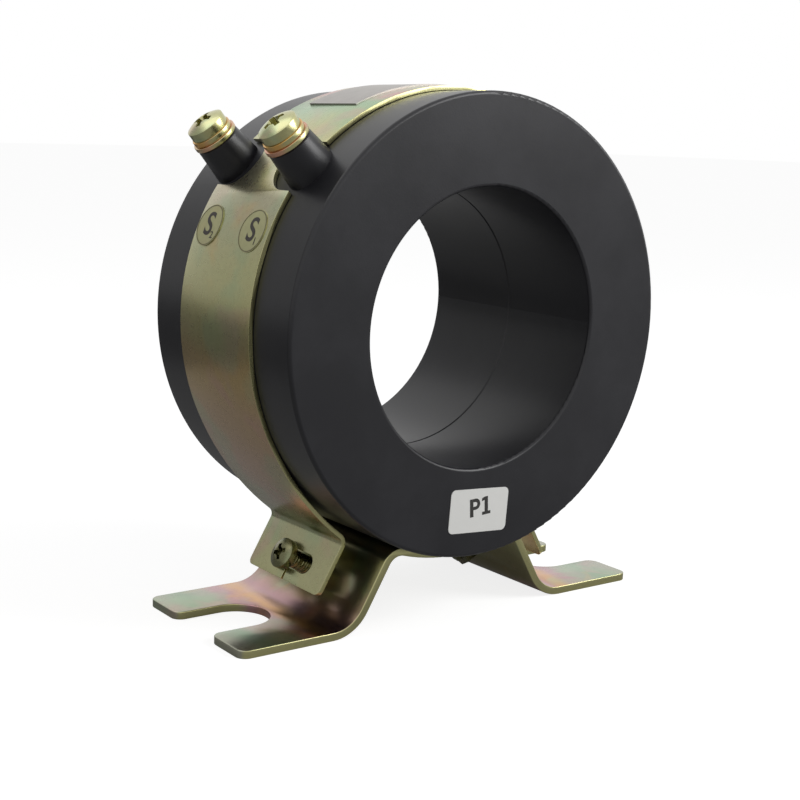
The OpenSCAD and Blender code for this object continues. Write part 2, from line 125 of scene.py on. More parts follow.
class TransformerMarks(bpy.types.PropertyGroup):
    """Printed terminal marks."""
    ink: FloatVectorProperty(
        name="Ink", description="Colour of the printed marks",
        subtype="COLOR", size=3, default=(0.03, 0.029, 0.026))
    band_ink: FloatVectorProperty(
        name="Band ink", description="Colour of the marks on the round labels",
        subtype="COLOR", size=3, default=(0.028, 0.020, 0.012))
    face_height: FloatProperty(
        name="Face mark height", description="Height of the mark on the front label",
        default=0.0040, unit="LENGTH")
    face_tilt: FloatProperty(
        name="Face mark tilt", description="How far the front label leans",
        subtype="ANGLE", default=math.radians(3.5))
    band_height: FloatProperty(
        name="Band mark height", description="Height of the marks on the round labels",
        default=0.0052, unit="LENGTH")
    film: FloatProperty(
        name="Ink thickness", description="Thickness of the ink",
        default=0.00003, unit="LENGTH")


class TransformerStage(bpy.types.PropertyGroup):
    """Studio and camera."""
    aim: FloatVectorProperty(
        name="Aim", description="Point that the camera looks at",
        subtype="XYZ", size=3, unit="LENGTH", default=(-0.01812, 0.0, -0.01824))
    distance: FloatProperty(
        name="Distance", description="Distance of the camera from that point",
        default=0.32204, unit="LENGTH")
    azimuth: FloatProperty(
        name="Azimuth", description="How far the camera stands to the left of the front",
        subtype="ANGLE", default=math.radians(34.774))
    elevation: FloatProperty(
        name="Elevation", description="How far the camera looks down",
        subtype="ANGLE", default=math.radians(10.602))
    roll: FloatProperty(
        name="Roll", description="Turn of the camera about its own axis",
        subtype="ANGLE", default=math.radians(1.63))
    lens: FloatProperty(
        name="Lens", description="Focal length in millimetres on a 36 mm sensor",
        default=65.36)
    shift: FloatProperty(
        name="Shift", description="Sideways shift of the camera",
        default=0.075)
    key_place: FloatVectorProperty(
        name="Key place", description="Place of the soft lamp above on the right",
        subtype="XYZ", size=3, unit="LENGTH", default=(0.38, -0.38, 0.28))
    key_size: FloatProperty(
        name="Key size", description="Side of the soft lamp above on the right",
        default=0.32, unit="LENGTH")
    key_watts: FloatProperty(
        name="Key light", description="Power of the soft lamp above on the right",
        default=2.0, unit="POWER")
    fill_place: FloatVectorProperty(
        name="Fill place", description="Place of the soft lamp above on the left",
        subtype="XYZ", size=3, unit="LENGTH", default=(-0.25, 0.20, 0.62))
    fill_size: FloatProperty(
        name="Fill size", description="Side of the soft lamp above on the left",
        default=0.4, unit="LENGTH")
    fill_watts: FloatProperty(
        name="Fill light", description="Power of the soft lamp above on the left",
        default=0.5, unit="POWER")
    ambient: FloatProperty(
        name="Ambient", description="Strength of the light from all round",
        default=0.35)
    low_glow: FloatProperty(
        name="Low card", description="Brightness of the low grey card that the gloss mirrors",
        default=0.12)
    tall_glow: FloatProperty(
        name="Tall card", description="Brightness of the tall grey card that the gloss mirrors",
        default=0.5)


def settings():
    """The scene's property groups, by short names."""
    scene = bpy.context.scene
    return scene.ct_housing, scene.ct_plating, scene.ct_marks, scene.ct_stage


# ---------------------------------------------------------------- mesh helpers

def new_piece(name, mesh):
    """Links a mesh as a piece that rides on the root."""
    piece = bpy.data.objects.new(name, mesh)
    bpy.context.scene.collection.objects.link(piece)
    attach(piece, "root")
    return piece


def applied(piece):
    """Turns a piece's live modifiers into plain mesh."""
    depsgraph = bpy.context.evaluated_depsgraph_get()
    mesh = bpy.data.meshes.new_from_object(piece.evaluated_get(depsgraph))
    piece.modifiers.clear()
    piece.data = mesh
    return mesh


def dress(piece, material):
    """Gives a piece one material."""
    piece.data.materials.clear()
    piece.data.materials.append(material)


def rounded_copy(node, name, material, width, segments=3, corner=35.0):
    """Copy of a node's solid with its sharp edges rounded; it stands for the node."""
    flat_angle = math.radians(0.4)
    weld = 2e-6
    bm = bmesh.new()
    bm.from_mesh(NODES[node].data)
    bmesh.ops.remove_doubles(bm, verts=bm.verts, dist=weld)
    bmesh.ops.dissolve_limit(
        bm, angle_limit=flat_angle, verts=bm.verts, edges=bm.edges, use_dissolve_boundaries=False)
    mesh = bpy.data.meshes.new(name)
    bm.to_mesh(mesh)
    bm.free()
    piece = new_piece(name, mesh)
    bevel = piece.modifiers.new("round", "BEVEL")
    bevel.width = width
    bevel.segments = segments
    bevel.limit_method = "ANGLE"
    bevel.angle_limit = math.radians(corner)
    bevel.use_clamp_overlap = True
    applied(piece)
    smooth(piece.data, corner)
    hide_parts(node)
    dress(piece, material)
    return piece


def smooth(mesh, corner=35.0):
    """Shades a mesh smooth but for edges sharper than corner degrees."""
    bm = bmesh.new()
    bm.from_mesh(mesh)
    limit = math.radians(corner)
    for face in bm.faces:
        face.smooth = True
    for edge in bm.edges:
        edge.smooth = edge.is_manifold and edge.calc_face_angle(0.0) < limit
    bm.to_mesh(mesh)
    bm.free()


# ---------------------------------------------------------------- shader groups

def group_sockets(group, inputs, outputs):
    """Adds named sockets to a node group: (name, kind, default)."""
    for name, kind, default in inputs:
        socket = group.interface.new_socket(name, in_out="INPUT", socket_type=kind)
        if default is not None:
            socket.default_value = default
    for name, kind in outputs:
        group.interface.new_socket(name, in_out="OUTPUT", socket_type=kind)
    return group.nodes.new("NodeGroupInput"), group.nodes.new("NodeGroupOutput")


def plated_tint_group():
    """Film colours of yellow zinc plate in soft patches, with fine mottle and rolling marks."""
    name = "Plated tint"
    if name in bpy.data.node_groups:
        return bpy.data.node_groups[name]
    group = bpy.data.node_groups.new(name, "ShaderNodeTree")
    colour = "NodeSocketColor"
    number = "NodeSocketFloat"
    inp, out = group_sockets(
        group,
        [("Base", colour, None), ("Green", colour, None), ("Pink", colour, None),
         ("Gold", colour, None), ("Patch size", number, 0.012), ("Film", number, 0.6),
         ("Seed", number, 0.0)],
        [("Color", colour), ("Roughness", number), ("Height", number)])
    node, link = group.nodes.new, group.links.new
    coords = node("ShaderNodeTexCoord")
    scale = node("ShaderNodeMath")
    scale.operation = "DIVIDE"
    scale.inputs[0].default_value = 1.0
    link(inp.outputs["Patch size"], scale.inputs[1])
    previous = inp.outputs["Base"]
    for index, (film, lo, hi) in enumerate((("Green", 0.50, 0.66), ("Pink", 0.54, 0.70),
                                            ("Gold", 0.60, 0.76))):
        offset = node("ShaderNodeVectorMath")
        offset.operation = "ADD"
        link(coords.outputs["Object"], offset.inputs[0])
        shift = node("ShaderNodeCombineXYZ")
        shift.inputs["X"].default_value = 0.37 * (index + 1)
        link(inp.outputs["Seed"], shift.inputs["Y"])
        link(shift.outputs[0], offset.inputs[1])
        noise = node("ShaderNodeTexNoise")
        noise.inputs["Detail"].default_value = 3.0
        noise.inputs["Roughness"].default_value = 0.45
        noise.inputs["Distortion"].default_value = 0.6
        link(offset.outputs[0], noise.inputs["Vector"])
        link(scale.outputs[0], noise.inputs["Scale"])
        ramp = node("ShaderNodeMapRange")
        ramp.interpolation_type = "SMOOTHSTEP"
        ramp.inputs["From Min"].default_value = lo
        ramp.inputs["From Max"].default_value = hi
        link(noise.outputs["Fac"], ramp.inputs["Value"])
        amount = node("ShaderNodeMath")
        amount.operation = "MULTIPLY"
        link(ramp.outputs[0], amount.inputs[0])
        link(inp.outputs["Film"], amount.inputs[1])
        mix = node("ShaderNodeMix")
        mix.data_type = "RGBA"
        link(amount.outputs[0], mix.inputs["Factor"])
        link(previous, mix.inputs[6])
        link(inp.outputs[film], mix.inputs[7])
        previous = mix.outputs[2]
    # fine mottle in value, and the roughness that goes with it
    mottle = node("ShaderNodeTexNoise")
    mottle.inputs["Scale"].default_value = 900.0
    mottle.inputs["Detail"].default_value = 4.0
    link(coords.outputs["Object"], mottle.inputs["Vector"])
    value = node("ShaderNodeMapRange")
    value.inputs["To Min"].default_value = 0.90
    value.inputs["To Max"].default_value = 1.10
    link(mottle.outputs["Fac"], value.inputs["Value"])
    hsv = node("ShaderNodeHueSaturation")
    link(previous, hsv.inputs["Color"])
    link(value.outputs[0], hsv.inputs["Value"])
    link(hsv.outputs["Color"], out.inputs["Color"])
    rough = node("ShaderNodeMapRange")
    rough.inputs["To Min"].default_value = -0.02
    rough.inputs["To Max"].default_value = 0.04
    link(mottle.outputs["Fac"], rough.inputs["Value"])
    link(rough.outputs[0], out.inputs["Roughness"])
    # rolling marks along the strip
    stretch = node("ShaderNodeMapping")
    stretch.inputs["Scale"].default_value = (90.0, 5200.0, 90.0)
    link(coords.outputs["Object"], stretch.inputs["Vector"])
    streak = node("ShaderNodeTexNoise")
    streak.inputs["Scale"].default_value = 1.0
    streak.inputs["Detail"].default_value = 2.0
    link(stretch.outputs[0], streak.inputs["Vector"])
    height = node("ShaderNodeMath")
    height.operation = "ADD"
    link(streak.outputs["Fac"], height.inputs[0])
    link(mottle.outputs["Fac"], height.inputs[1])
    link(height.outputs[0], out.inputs["Height"])
    return group


def drifting_ramp(new, link, axis, start, end, wander, patch, stops):
    """Colours that drift along an axis of the piece, their borders wandering with a noise."""
    coords = new("ShaderNodeTexCoord")
    split = new("ShaderNodeSeparateXYZ")
    link(coords.outputs["Object"], split.inputs[0])
    along = split.outputs[axis.strip("|")]
    if axis.startswith("|"):
        both = new("ShaderNodeMath")
        both.operation = "ABSOLUTE"
        link(along, both.inputs[0])
        along = both.outputs[0]
    noise = new("ShaderNodeTexNoise")
    noise.inputs["Scale"].default_value = 1.0 / patch
    noise.inputs["Detail"].default_value = 3.0
    link(coords.outputs["Object"], noise.inputs["Vector"])
    swing = new("ShaderNodeMapRange")
    swing.inputs["To Min"].default_value = -wander
    swing.inputs["To Max"].default_value = wander
    link(noise.outputs["Fac"], swing.inputs["Value"])
    moved = new("ShaderNodeMath")
    link(along, moved.inputs[0])
    link(swing.outputs[0], moved.inputs[1])
    place = new("ShaderNodeMapRange")
    place.inputs["From Min"].default_value = start
    place.inputs["From Max"].default_value = end
    link(moved.outputs[0], place.inputs["Value"])
    ramp = new("ShaderNodeValToRGB")
    ramp.color_ramp.interpolation = "EASE"
    elements = ramp.color_ramp.elements
    while len(elements) > 1:
        elements.remove(elements[-1])
    elements[0].position = (stops[0][0] - start) / (end - start)
    elements[0].color = (*stops[0][1], 1.0)
    for position, colour in stops[1:]:
        element = elements.new((position - start) / (end - start))
        element.color = (*colour, 1.0)
    link(place.outputs[0], ramp.inputs["Fac"])
    return ramp.outputs["Color"]


def moulded_skin_group():
    """Spark-eroded grain of a mould, with soft bloom patches and faint rubs."""
    name = "Moulded skin"
    if name in bpy.data.node_groups:
        return bpy.data.node_groups[name]
    group = bpy.data.node_groups.new(name, "ShaderNodeTree")
    colour = "NodeSocketColor"
    number = "NodeSocketFloat"
    inp, out = group_sockets(
        group,
        [("Base", colour, None), ("Bloom", colour, None), ("Grain size", number, 0.0004)],
        [("Color", colour), ("Roughness", number), ("Height", number)])
    node, link = group.nodes.new, group.links.new
    coords = node("ShaderNodeTexCoord")
    scale = node("ShaderNodeMath")
    scale.operation = "DIVIDE"
    scale.inputs[0].default_value = 1.0
    link(inp.outputs["Grain size"], scale.inputs[1])
    grain = node("ShaderNodeTexNoise")
    grain.inputs["Detail"].default_value = 2.0
    link(coords.outputs["Object"], grain.inputs["Vector"])
    link(scale.outputs[0], grain.inputs["Scale"])
    link(grain.outputs["Fac"], out.inputs["Height"])
    bloom = node("ShaderNodeTexNoise")
    bloom.inputs["Scale"].default_value = 45.0
    bloom.inputs["Detail"].default_value = 5.0
    bloom.inputs["Roughness"].default_value = 0.6
    link(coords.outputs["Object"], bloom.inputs["Vector"])
    soft = node("ShaderNodeMapRange")
    soft.interpolation_type = "SMOOTHSTEP"
    soft.inputs["From Min"].default_value = 0.35
    soft.inputs["From Max"].default_value = 0.72
    link(bloom.outputs["Fac"], soft.inputs["Value"])
    mix = node("ShaderNodeMix")
    mix.data_type = "RGBA"
    link(soft.outputs[0], mix.inputs["Factor"])
    link(inp.outputs["Base"], mix.inputs[6])
    link(inp.outputs["Bloom"], mix.inputs[7])
    link(mix.outputs[2], out.inputs["Color"])
    rough = node("ShaderNodeMapRange")
    rough.inputs["To Min"].default_value = -0.05
    rough.inputs["To Max"].default_value = 0.06
    link(bloom.outputs["Fac"], rough.inputs["Value"])
    link(rough.outputs[0], out.inputs["Roughness"])
    return group


# ---------------------------------------------------------------- materials

def seen_directly(new, link):
    """1 for what the camera, gloss or glass sees, 0 for other light."""
    path = new("ShaderNodeLightPath")
    seen = path.outputs["Is Camera Ray"]
    for other in ("Is Glossy Ray", "Is Transmission Ray"):
        either = new("ShaderNodeMath")
        either.operation = "MAXIMUM"
        link(seen, either.inputs[0])
        link(path.outputs[other], either.inputs[1])
        seen = either.outputs[0]
    return seen


def blank_material(name):
    """A material with a Principled shader; returns material, nodes' new, links' new, shader."""
    material = bpy.data.materials.new(name)
    material.use_nodes = True
    tree = material.node_tree
    shader = tree.nodes["Principled BSDF"]
    return material, tree.nodes.new, tree.links.new, shader


def use_group(new, group, **values):
    """Places a node group and sets its inputs by name."""
    node = new("ShaderNodeGroup")
    node.node_tree = group
    for name, value in values.items():
        node.inputs[name.replace("_", " ")].default_value = value
    return node


def rough_and_bump(new, link, shader, group_node, roughness, strength, depth):
    """Feeds a group's roughness change and height into the shader."""
    add = new("ShaderNodeMath")
    add.operation = "ADD"
    add.use_clamp = True
    add.inputs[0].default_value = roughness
    link(group_node.outputs["Roughness"], add.inputs[1])
    link(add.outputs[0], shader.inputs["Roughness"])
    bump = new("ShaderNodeBump")
    bump.inputs["Strength"].default_value = strength
    bump.inputs["Distance"].default_value = depth
    link(group_node.outputs["Height"], bump.inputs["Height"])
    link(bump.outputs["Normal"], shader.inputs["Normal"])


def moulded_black(name="moulded_black"):
    """Satin black thermoplastic."""
    housing = settings()[0]
    material, new, link, shader = blank_material(name)
    skin = use_group(new, moulded_skin_group(), Base=(*housing.colour, 1.0),
                     Bloom=(*housing.bloom, 1.0), Grain_size=housing.grain)
    link(skin.outputs["Color"], shader.inputs["Base Color"])
    shader.inputs["IOR"].default_value = 1.5
    shader.inputs["Specular IOR Level"].default_value = 0.42
    rough_and_bump(new, link, shader, skin, housing.roughness, 0.25, 0.00004)
    return material


def sheared_edge_group():
    """Mixes in the plain plate of the cut edges that face front and rear."""
    name = "Sheared edge"
    if name in bpy.data.node_groups:
        return bpy.data.node_groups[name]
    group = bpy.data.node_groups.new(name, "ShaderNodeTree")
    colour = "NodeSocketColor"
    inp, out = group_sockets(group, [("Color", colour, None), ("Edge", colour, None)],
                             [("Color", colour)])
    node, link = group.nodes.new, group.links.new
    geometry = node("ShaderNodeNewGeometry")
    split = node("ShaderNodeSeparateXYZ")
    link(geometry.outputs["Normal"], split.inputs[0])
    facing = node("ShaderNodeMath")
    facing.operation = "ABSOLUTE"
    link(split.outputs["Y"], facing.inputs[0])
    mask = node("ShaderNodeMapRange")
    mask.inputs["From Min"].default_value = 0.6
    mask.inputs["From Max"].default_value = 0.85
    link(facing.outputs[0], mask.inputs["Value"])
    mix = node("ShaderNodeMix")
    mix.data_type = "RGBA"
    link(mask.outputs[0], mix.inputs["Factor"])
    link(inp.outputs["Color"], mix.inputs[6])
    link(inp.outputs["Edge"], mix.inputs[7])
    link(mix.outputs[2], out.inputs["Color"])
    return group


def yellow_zinc(name, film, patch, roughness, seed, tone=1.0, drift=None):
    """Yellow chromated zinc plate; tone darkens it, and drift lays its colours along an axis."""
    plating = settings()[1]
    material, new, link, shader = blank_material(name)

    def shade(colour):
        return (*(channel * tone for channel in colour), 1.0)

    tint = use_group(new, plated_tint_group(), Base=shade(plating.olive),
                     Green=shade(plating.green), Pink=shade(plating.pink),
                     Gold=shade(plating.gold), Patch_size=patch, Film=film, Seed=seed)
    if drift:
        link(drifting_ramp(new, link, *drift), tint.inputs["Base"])
    edge = use_group(new, sheared_edge_group(), Edge=shade(plating.edge))
    link(tint.outputs["Color"], edge.inputs["Color"])
    link(edge.outputs["Color"], shader.inputs["Base Color"])
    shader.inputs["Metallic"].default_value = 1.0
    rough_and_bump(new, link, shader, tint, roughness, 0.05, 0.00001)
    return material


def plain_finish(name, colour, roughness, metallic=0.0, mottle=0.12, grain=500.0):
    """A plain finish with a little mottle, for inner pieces, paper and ink."""
    material, new, link, shader = blank_material(name)
    coords = new("ShaderNodeTexCoord")
    noise = new("ShaderNodeTexNoise")
    noise.inputs["Scale"].default_value = grain
    noise.inputs["Detail"].default_value = 4.0
    link(coords.outputs["Object"], noise.inputs["Vector"])
    value = new("ShaderNodeMapRange")
    value.inputs["To Min"].default_value = 1.0 - mottle
    value.inputs["To Max"].default_value = 1.0 + mottle
    link(noise.outputs["Fac"], value.inputs["Value"])
    hsv = new("ShaderNodeHueSaturation")
    hsv.inputs["Color"].default_value = (*colour, 1.0)
    link(value.outputs[0], hsv.inputs["Value"])
    link(hsv.outputs["Color"], shader.inputs["Base Color"])
    bump = new("ShaderNodeBump")
    bump.inputs["Strength"].default_value = 0.15
    bump.inputs["Distance"].default_value = 0.00002
    link(noise.outputs["Fac"], bump.inputs["Height"])
    link(bump.outputs["Normal"], shader.inputs["Normal"])
    shader.inputs["Roughness"].default_value = roughness
    shader.inputs["Metallic"].default_value = metallic
    return material


# ---------------------------------------------------------------- operators

class CT_OT_housing(bpy.types.Operator):
    """Dress the two moulded half shells"""
    bl_idname = "ct.housing"
    bl_label = "Housing"

    def execute(self, context):
        material = moulded_black()
        for node in ("front_shell", "rear_shell"):
            dress(NODES[node], material)
        return {"FINISHED"}


class CT_OT_core(bpy.types.Operator):
    """Dress the wound core, its insulation, leads and inserts"""
    bl_idname = "ct.core"
    bl_label = "Wound core"

    def execute(self, context):
        finishes = {
            "core": plain_finish("core_steel", (0.42, 0.43, 0.45), 0.4, 1.0, 0.08, 3000.0),
            "core_insulation": plain_finish("insulation_board", (0.62, 0.52, 0.33), 0.8),
            "secondary_winding": plain_finish("enamelled_copper", (0.42, 0.15, 0.05), 0.3, 1.0),
            "winding_wrap": plain_finish("wrap_tape", (0.78, 0.74, 0.62), 0.75, 0.0, 0.2, 900.0),
            "insert_s1": plain_finish("turned_brass", (0.62, 0.44, 0.16), 0.3, 1.0, 0.06, 2500.0),
        }
        for node, same in (("insert_s2", "insert_s1"), ("start_lead", "secondary_winding"),
                           ("finish_lead", "secondary_winding")):
            finishes[node] = finishes[same]
        for node, material in finishes.items():
            dress(NODES[node], material)
        return {"FINISHED"}


class CT_OT_sheet_metal(bpy.types.Operator):
    """Make the clamp band and the foot bracket, with rounded sheared edges"""
    bl_idname = "ct.sheet_metal"
    bl_label = "Band and bracket"

    def execute(self, context):
        plating = settings()[1]
        olive, green, pink = (tuple(film) for film in (
            plating.olive, plating.green, plating.pink))
        brown = (0.50, 0.37, 0.18)
        rose = (0.54, 0.39, 0.29)
        pale = (0.50, 0.47, 0.33)
        grey = (0.36, 0.36, 0.28)
        band_drift = ("Z", -0.060, 0.052, 0.006, 0.02, [
            (-0.058, olive), (-0.046, (0.44, 0.42, 0.25)), (-0.038, (0.46, 0.38, 0.27)),
            (-0.030, rose), (-0.020, (0.52, 0.38, 0.24)), (-0.009, brown),
            (0.001, (0.48, 0.45, 0.22)), (0.012, olive), (0.030, pale), (0.040, olive),
            (0.0455, green), (0.0485, pink), (0.0505, pale)])
        # Film colours across the bracket; the dark olive at 0.024, at the bend, is a painted
        # reflection of the black ring above it.
        foot_films_and_bend_shade = ("|X", 0.0, 0.056, 0.003, 0.012, [
            (0.016, olive), (0.024, (0.30, 0.27, 0.15)), (0.030, (0.44, 0.26, 0.27)),
            (0.0345, (0.60, 0.34, 0.16)), (0.038, (0.46, 0.27, 0.28)), (0.043, grey),
            (0.048, (0.27, 0.35, 0.24)), (0.054, grey)])
        band = yellow_zinc("band_plate", 0.35, 0.016, plating.roughness, 0.0,
                           drift=band_drift)
        foot = yellow_zinc("bracket_plate", 0.45, 0.013, plating.roughness - 0.03, 2.7,
                           drift=foot_films_and_bend_shade)
        rounded_copy("clamp_band", "band", band, plating.sheet_edge)
        rounded_copy("foot_bracket", "bracket", foot, 1.4 * plating.sheet_edge)
        return {"FINISHED"}


class CT_OT_terminals(bpy.types.Operator):
    """Make the terminal screws and their washers"""
    bl_idname = "ct.terminals"
    bl_label = "Terminals"

    def execute(self, context):
        plating = settings()[1]
        screw = yellow_zinc("screw_plate", 0.35, 0.006, 0.24, 5.1)
        gold_ring = ("Y", -0.02, 0.02, 0.004, 0.004, [
            (-0.018, plating.gold), (0.0, (0.62, 0.42, 0.20)), (0.018, plating.gold)])
        copper_ring = ("Y", -0.02, 0.02, 0.004, 0.004, [
            (-0.018, (0.60, 0.33, 0.22)), (0.0, (0.66, 0.44, 0.30)), (0.018, (0.60, 0.36, 0.22))])
        spring = yellow_zinc("spring_washer_plate", 0.3, 0.005, 0.24, 7.7, drift=gold_ring)
        washer = yellow_zinc("flat_washer_plate", 0.3, 0.005, 0.24, 9.3, drift=copper_ring)
        for end in ("s1", "s2"):
            rounded_copy("terminal_screw_" + end, "screw_" + end, screw,
                         plating.small_edge, corner=30.0)
            rounded_copy("spring_washer_" + end, "spring_" + end, spring,
                         plating.small_edge)
            rounded_copy("flat_washer_" + end, "washer_" + end, washer,
                         plating.small_edge)
        return {"FINISHED"}


def thread_tree():
    """Geometry Nodes tree of a thread ridge: a small hexagon swept along a helix."""
    name = "Thread ridge"
    if name in bpy.data.node_groups:
        return bpy.data.node_groups[name]
    tree = bpy.data.node_groups.new(name, "GeometryNodeTree")
    length = "NodeSocketFloat"
    inp, out = group_sockets(
        tree, [("Radius", length, 0.0018), ("Pitch", length, 0.0007), ("Length", length, 0.01),
               ("Depth", length, 0.0003), ("Material", "NodeSocketMaterial", None)],
        [("Geometry", "NodeSocketGeometry")])
    node, link = tree.nodes.new, tree.links.new
    turns = node("ShaderNodeMath")
    turns.operation = "DIVIDE"
    link(inp.outputs["Length"], turns.inputs[0])
    link(inp.outputs["Pitch"], turns.inputs[1])
    helix = node("GeometryNodeCurveSpiral")
    points_in_turn, ridge_sides = 32, 6
    helix.inputs["Resolution"].default_value = points_in_turn
    link(turns.outputs[0], helix.inputs["Rotations"])
    link(inp.outputs["Radius"], helix.inputs["Start Radius"])
    link(inp.outputs["Radius"], helix.inputs["End Radius"])
    link(inp.outputs["Length"], helix.inputs["Height"])
    ridge = node("GeometryNodeCurvePrimitiveCircle")
    ridge.inputs["Resolution"].default_value = ridge_sides
    link(inp.outputs["Depth"], ridge.inputs["Radius"])
    sweep = node("GeometryNodeCurveToMesh")
    sweep.inputs["Fill Caps"].default_value = True
    link(helix.outputs["Curve"], sweep.inputs["Curve"])
    link(ridge.outputs["Curve"], sweep.inputs["Profile Curve"])
    real = node("GeometryNodeRealizeInstances")
    link(sweep.outputs["Mesh"], real.inputs["Geometry"])
    paint = node("GeometryNodeSetMaterial")
    link(real.outputs["Geometry"], paint.inputs["Geometry"])
    link(inp.outputs["Material"], paint.inputs["Material"])
    link(paint.outputs["Geometry"], out.inputs["Geometry"])
    return tree


def grown(name, tree, **values):
    """Plain mesh that a Geometry Nodes tree makes with these inputs."""
    holder = bpy.data.objects.new(name, bpy.data.meshes.new(name))
    bpy.context.scene.collection.objects.link(holder)
    modifier = holder.modifiers.new("grow", "NODES")
    modifier.node_group = tree
    sockets = {item.name: item.identifier for item in tree.interface.items_tree
               if item.in_out == "INPUT"}
    for key, value in values.items():
        modifier[sockets[key]] = value
    depsgraph = bpy.context.evaluated_depsgraph_get()
    mesh = bpy.data.meshes.new_from_object(holder.evaluated_get(depsgraph))
    bpy.data.objects.remove(holder)
    mesh.name = name
    return mesh


class CT_OT_clamp_screws(bpy.types.Operator):
    """Make the clamp screws, their threads and the nuts"""
    bl_idname = "ct.clamp_screws"
    bl_label = "Clamp screws"

    def execute(self, context):
        plating = settings()[1]
        # Darkened to 0.42 of the plate's colour as painted shade, for the clamp screws, nuts and
        # threads, which sit in shade under the ring.
        metal = yellow_zinc("shaded_clamp_screw_plate", 0.35, 0.006, 0.26, 3.3, 0.42)
        for side in ("left", "right"):
            rounded_copy("clamp_screw_" + side, "clamp_bolt_" + side, metal,
                         plating.small_edge, corner=30.0)
            rounded_copy("clamp_nut_" + side, "clamp_hexagon_" + side, metal,
                         plating.small_edge)
            self.thread(side, plating, metal)
        return {"FINISHED"}

    def thread(self, side, plating, metal):
        """Thread along the shank, from behind the ear to the screw's end."""
        axis, end, shank_r, shank_l = shank_of(NODES["clamp_screw_" + side])
        depth, sunk_share, clear = 0.00022, 0.6, 0.0004
        mesh = grown("clamp_thread_" + side, thread_tree(), Radius=shank_r - sunk_share * depth,
                     Pitch=plating.thread_pitch, Length=shank_l - 2 * clear, Depth=depth,
                     Material=metal)
        turn = Vector((0, 0, 1)).rotation_difference(axis).to_matrix().to_4x4()
        mesh.transform(Matrix.Translation(end + axis * clear) @ turn)
        piece = new_piece("clamp_thread_" + side, mesh)
        smooth(piece.data)


def shank_of(node):
    """Axis, end, radius and length of a clamp screw's shank, from its own solid."""
    slope = math.radians(60)
    face_depth, end_depth, head_share = 0.00001, 0.001, 1.3
    points = [v.co.copy() for v in node.data.vertices]
    outward = 1 if sum(p.x for p in points) > 0 else -1
    axis = Vector((outward * math.sin(slope), 0, math.cos(slope)))
    along = [p.dot(axis) for p in points]
    start = min(along)
    tip = [p for p, a in zip(points, along) if a < start + face_depth]
    centre = sum(tip, Vector()) / len(tip)
    centre.y = (min(p.y for p in points) + max(p.y for p in points)) / 2
    from_axis = [(p - centre - axis * (p - centre).dot(axis)).length for p in points]
    radius = max(r for r, a in zip(from_axis, along) if a < start + end_depth)
    head = min(a for r, a in zip(from_axis, along) if r > head_share * radius)
    return axis, centre, radius, head - start


def filled_outline(name, outlines, film):
    """Flat mesh of closed outlines in the XY plane; an outline inside another is a hole."""
    curve = bpy.data.curves.new(name, "CURVE")
    curve.dimensions = "2D"
    curve.fill_mode = "BOTH"
    curve.extrude = film / 2
    for points in outlines:
        spline = curve.splines.new("POLY")
        spline.points.add(len(points) - 1)
        for point, (x, y) in zip(spline.points, points):
            point.co = (x, y, 0.0, 1.0)
        spline.use_cyclic_u = True
    return curve_mesh(name, curve)


def curve_mesh(name, curve):
    """Plain mesh of a curve or text."""
    holder = bpy.data.objects.new(name, curve)
    bpy.context.scene.collection.objects.link(holder)
    depsgraph = bpy.context.evaluated_depsgraph_get()
    mesh = bpy.data.meshes.new_from_object(holder.evaluated_get(depsgraph))
    bpy.data.objects.remove(holder)
    mesh.name = name
    return mesh


def arc(centre, radius, start, end, steps=16):
    """Points along an arc, angles in degrees."""
    turns = [math.radians(start + (end - start) * i / steps) for i in range(steps + 1)]
    return [(centre[0] + radius * math.cos(a), centre[1] + radius * math.sin(a)) for a in turns]


def scaled(outline, size, across=0.0):
    """An outline drawn in units of its height, brought to size and moved across."""
    return [(size * (x + across), size * y) for x, y in outline]


def letter_p():
    """Outlines of a bold P, one unit tall."""
    stem, top, bowl, counter = 0.23, 1.0, 0.31, 0.13
    middle = top - bowl
    bend = 0.40
    outside = [(0, 0), (stem, 0), (stem, middle - bowl)]
    outside += arc((bend, middle), bowl, -90, 90) + [(0, top)]
    inside = [(stem, middle - counter)] + arc((bend - 0.02, middle), counter, -90, 90)
    inside += [(stem, middle + counter)]
    return [outside, inside]


def figure_one():
    """Outline of a bold 1 with a flag and a foot, one unit tall."""
    foot_l, foot_r, foot_h = 0.04, 0.62, 0.17
    stem_l, stem_r = 0.22, 0.45
    return [[(foot_l, 0), (foot_r, 0), (foot_r, foot_h), (stem_r, foot_h), (stem_r, 1.0),
             (stem_l, 1.0), (foot_l, 0.93), (foot_l, 0.77), (stem_l, 0.82), (stem_l, foot_h),
             (foot_l, foot_h)]]


def text_mesh(name, words, height, film):
    """A word as a mesh in the XY plane, centred, its capitals height tall."""
    cap_share = 0.72
    curve = bpy.data.curves.new(name, "FONT")
    curve.body = words
    curve.size = height / cap_share
    curve.extrude = film / 2
    curve.offset = 0.022 * height
    curve.align_x = "CENTER"
    curve.align_y = "CENTER"
    return curve_mesh(name, curve)


def joined(name, meshes):
    """One mesh from several."""
    bm = bmesh.new()
    for mesh in meshes:
        bm.from_mesh(mesh)
    result = bpy.data.meshes.new(name)
    bm.to_mesh(result)
    bm.free()
    return result


def wrapped(mesh, radius, angle, middle):
    """Lays a flat mesh on the band: up runs up round the ring and right runs to the front."""
    for vertex in mesh.vertices:
        right, up, out = vertex.co
        turn = angle - up / radius
        far = radius + out
        vertex.co = (far * math.cos(turn), middle - right, far * math.sin(turn))


